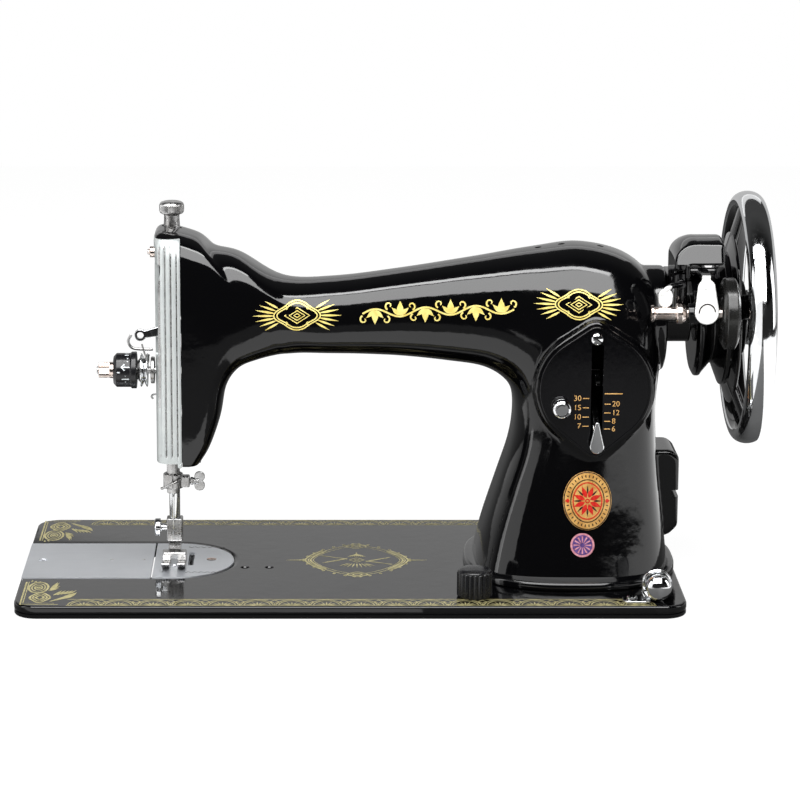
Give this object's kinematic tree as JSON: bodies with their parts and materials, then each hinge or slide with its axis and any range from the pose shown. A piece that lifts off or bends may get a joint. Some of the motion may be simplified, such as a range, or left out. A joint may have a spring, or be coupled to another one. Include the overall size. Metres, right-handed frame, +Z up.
{
  "type": "lockstitch sewing machine head",
  "caption": "Full-size domestic lockstitch sewing machine head: cast bed and arm, wrapped face plate, spoked hand wheel and oscillating-hook mechanism, to drop into a table or base.",
  "frame": {"origin": "centre of the bed's outline on the flat underside of its rim, at the middle of the cross rib", "axes": "+X to the right along the bed to the hand wheel, +Y away from the person sewing, +Z up"},
  "size_m": [0.4235, 0.178, 0.2548],
  "materials": {
    "enamel": "glossy black enamel on iron",
    "chrome": "polished chrome plate",
    "satin": "satin nickel plate",
    "steel": "ground steel, lightly oiled",
    "iron": "machined cast iron",
    "copper": "pinkish worn plating over brass",
    "brass": "turned brass",
    "black_plastic": "moulded black plastic",
    "rubber": "black rubber",
    "badge": "enamelled brass badge"
  },
  "bodies": {
    "machine": {"bed": "enamel", "arm_casting": "enamel", "face_plate": "chrome", "rear_cover": "enamel", "needle_plate": "satin", "regulator_plate": "enamel", "regulator_screw": "chrome", "badge": "badge", "shaft_bushing_left": "brass", "shaft_bushing_right": "iron", "presser_spring": "steel", "tension_stud": "steel", "tension_disc_inner": "chrome", "tension_disc_outer": "chrome", "thread_guard": "steel", "face_thread_guide": "steel", "winder_frame": "enamel", "bobbin_tension_bracket": "chrome", "bobbin_tension_discs": "chrome", "shuttle_race": "steel", "bobbin_case": "chrome"},
    "slide_plate": {"slide_plate": "satin"},
    "arm_shaft": {"arm_shaft": "steel", "counterweight_crank": "iron", "hand_wheel": "chrome", "clutch_washer": "steel"},
    "stop_motion_screw": {"stop_motion_screw": "chrome"},
    "needle_bar": {"needle_bar": "steel", "needle_bar_collar": "steel", "needle_bar_link": "steel", "needle_clamp": "chrome", "needle": "chrome"},
    "needle_clamp_screw": {"needle_clamp_screw": "chrome"},
    "presser_bar": {"presser_bar": "chrome", "presser_bar_bracket": "steel", "presser_foot": "chrome"},
    "presser_foot_screw": {"presser_foot_screw": "chrome"},
    "presser_lifter": {"presser_lifter": "chrome"},
    "pressure_screw": {"pressure_screw": "chrome"},
    "take_up_lever": {"take_up_lever": "chrome"},
    "tension_dial": {"tension_dial": "black_plastic", "tension_nut": "copper"},
    "check_spring": {"check_spring": "steel"},
    "stitch_lever": {"stitch_lever": "chrome"},
    "stitch_stop_knob": {"stitch_stop_knob": "chrome"},
    "winder_arm": {"winder_arm": "enamel"},
    "winder_spindle": {"winder_spindle": "copper", "winder_tyre": "rubber"},
    "winder_tongue": {"winder_tongue": "satin"},
    "winder_latch": {"winder_latch": "chrome"},
    "feed_drop_knob": {"feed_drop_knob": "black_plastic"},
    "bobbin_tension_nut": {"bobbin_tension_nut": "chrome"},
    "rock_shaft": {"rock_shaft": "steel"},
    "connecting_rod": {"connecting_rod": "iron"},
    "shuttle_hook": {"shuttle_hook": "chrome"},
    "bobbin": {"bobbin": "satin"},
    "feed_rock_shaft": {"feed_rock_shaft": "steel"},
    "feed_bar": {"feed_bar": "steel", "feed_dog": "steel"},
    "feed_lift_shaft": {"feed_lift_shaft": "steel"}
  },
  "joints": [
    {"name": "slide_plate_draw", "type": "slide", "parent": "machine", "child": "slide_plate", "axis": [-1, 0, 0], "range_m": [0, 0.055]},
    {"name": "hand_wheel_turn", "type": "hinge", "parent": "machine", "child": "arm_shaft", "pos_m": [0, 0, 0.1508], "axis": [1, 0, 0], "continuous": true},
    {"name": "stop_motion_turn", "type": "hinge", "parent": "arm_shaft", "child": "stop_motion_screw", "pos_m": [0.23, 0, 0.1508], "axis": [1, 0, 0], "range_deg": [0, 120]},
    {"name": "needle_bar_stroke", "type": "slide", "parent": "machine", "child": "needle_bar", "axis": [0, 0, 1], "range_m": [-0.032, 0]},
    {"name": "needle_clamp_screw_turn", "type": "hinge", "parent": "needle_bar", "child": "needle_clamp_screw", "pos_m": [-0.09, -0.01, 0.0578], "axis": [1, 0, 0], "range_deg": [0, 180]},
    {"name": "presser_lift", "type": "hinge", "parent": "machine", "child": "presser_lifter", "pos_m": [-0.1, 0.0166, 0.1164], "axis": [1, 0, 0], "range_deg": [0, 80]},
    {"name": "presser_bar_rise", "type": "slide", "parent": "machine", "child": "presser_bar", "axis": [0, 0, 1], "range_m": [0, 0.006]},
    {"name": "presser_foot_screw_turn", "type": "hinge", "parent": "presser_bar", "child": "presser_foot_screw", "pos_m": [-0.11, 0.006, 0.026], "axis": [1, 0, 0], "range_deg": [0, 180]},
    {"name": "pressure_screw_turn", "type": "hinge", "parent": "machine", "child": "pressure_screw", "pos_m": [-0.1, 0.006, 0.2], "axis": [0, 0, 1], "range_deg": [-360, 360]},
    {"name": "take_up_swing", "type": "hinge", "parent": "machine", "child": "take_up_lever", "pos_m": [-0.084, -0.0212, 0.152], "axis": [0, 1, 0], "range_deg": [-13, 55]},
    {"name": "tension_dial_turn", "type": "hinge", "parent": "machine", "child": "tension_dial", "pos_m": [-0.126, -0.015, 0.1236], "axis": [1, 0, 0], "range_deg": [-160, 160]},
    {"name": "check_spring_flex", "type": "hinge", "parent": "machine", "child": "check_spring", "pos_m": [-0.113, -0.015, 0.1236], "axis": [1, 0, 0], "range_deg": [0, 30], "stiffness_Nm_per_rad": 0.002},
    {"name": "stitch_length", "type": "hinge", "parent": "machine", "child": "stitch_lever", "pos_m": [0.1366, -0.008, 0.118], "axis": [-1, 0, 0], "range_deg": [0, 50]},
    {"name": "stitch_stop_turn", "type": "hinge", "parent": "machine", "child": "stitch_stop_knob", "pos_m": [0.117, -0.05, 0.109], "axis": [0, 1, 0], "range_deg": [0, 90]},
    {"name": "winder_engage", "type": "hinge", "parent": "machine", "child": "winder_arm", "pos_m": [0.19, -0.034, 0.181], "axis": [1, 0, 0], "range_deg": [0, 10]},
    {"name": "winder_spin", "type": "hinge", "parent": "winder_arm", "child": "winder_spindle", "pos_m": [0.19, -0.06, 0.1653], "axis": [1, 0, 0], "continuous": true},
    {"name": "winder_tongue_lift", "type": "hinge", "parent": "machine", "child": "winder_tongue", "pos_m": [0.1806, -0.052, 0.1799], "axis": [0, 1, 0], "range_deg": [0, 25]},
    {"name": "winder_latch_swing", "type": "hinge", "parent": "machine", "child": "winder_latch", "pos_m": [0.192, -0.048, 0.1864], "axis": [-1, 0, 0], "range_deg": [0, 25]},
    {"name": "feed_drop", "type": "hinge", "parent": "machine", "child": "feed_drop_knob", "pos_m": [0.069, -0.069, 0], "axis": [0, 0, 1], "range_deg": [0, 90]},
    {"name": "bobbin_tension_turn", "type": "hinge", "parent": "machine", "child": "bobbin_tension_nut", "pos_m": [0.169, -0.084, 0.0168], "axis": [0, 1, 0], "range_deg": [-360, 360]},
    {"name": "rock_shaft_swing", "type": "hinge", "parent": "machine", "child": "rock_shaft", "pos_m": [0, 0.008, -0.018], "axis": [1, 0, 0], "range_deg": [-18, 18]},
    {"name": "connecting_rod_swing", "type": "hinge", "parent": "rock_shaft", "child": "connecting_rod", "pos_m": [0.127, -0.014, -0.018], "axis": [1, 0, 0], "range_deg": [-18, 18]},
    {"name": "hook_swing", "type": "hinge", "parent": "machine", "child": "shuttle_hook", "pos_m": [-0.09, -0.01, -0.014], "axis": [1, 0, 0], "range_deg": [-99, 99]},
    {"name": "bobbin_spin", "type": "hinge", "parent": "machine", "child": "bobbin", "pos_m": [-0.115, -0.01, -0.014], "axis": [1, 0, 0], "continuous": true},
    {"name": "feed_rock", "type": "hinge", "parent": "machine", "child": "feed_rock_shaft", "pos_m": [0, 0.052, -0.016], "axis": [1, 0, 0], "range_deg": [-6, 6]},
    {"name": "feed_bar_level", "type": "hinge", "parent": "feed_rock_shaft", "child": "feed_bar", "pos_m": [-0.092, 0.052, -0.002], "axis": [1, 0, 0], "range_deg": [-6, 6]},
    {"name": "feed_lift", "type": "hinge", "parent": "machine", "child": "feed_lift_shaft", "pos_m": [0, -0.062, -0.016], "axis": [1, 0, 0], "range_deg": [-5, 5]}
  ],
  "couplings": [
    {"joint": "presser_bar_rise", "follows": "presser_lift", "m_per_rad": 0.00429},
    {"joint": "connecting_rod_swing", "follows": "rock_shaft_swing", "ratio": -1},
    {"joint": "hook_swing", "follows": "rock_shaft_swing", "ratio": -5.5},
    {"joint": "feed_bar_level", "follows": "feed_rock", "ratio": -1}
  ]
}
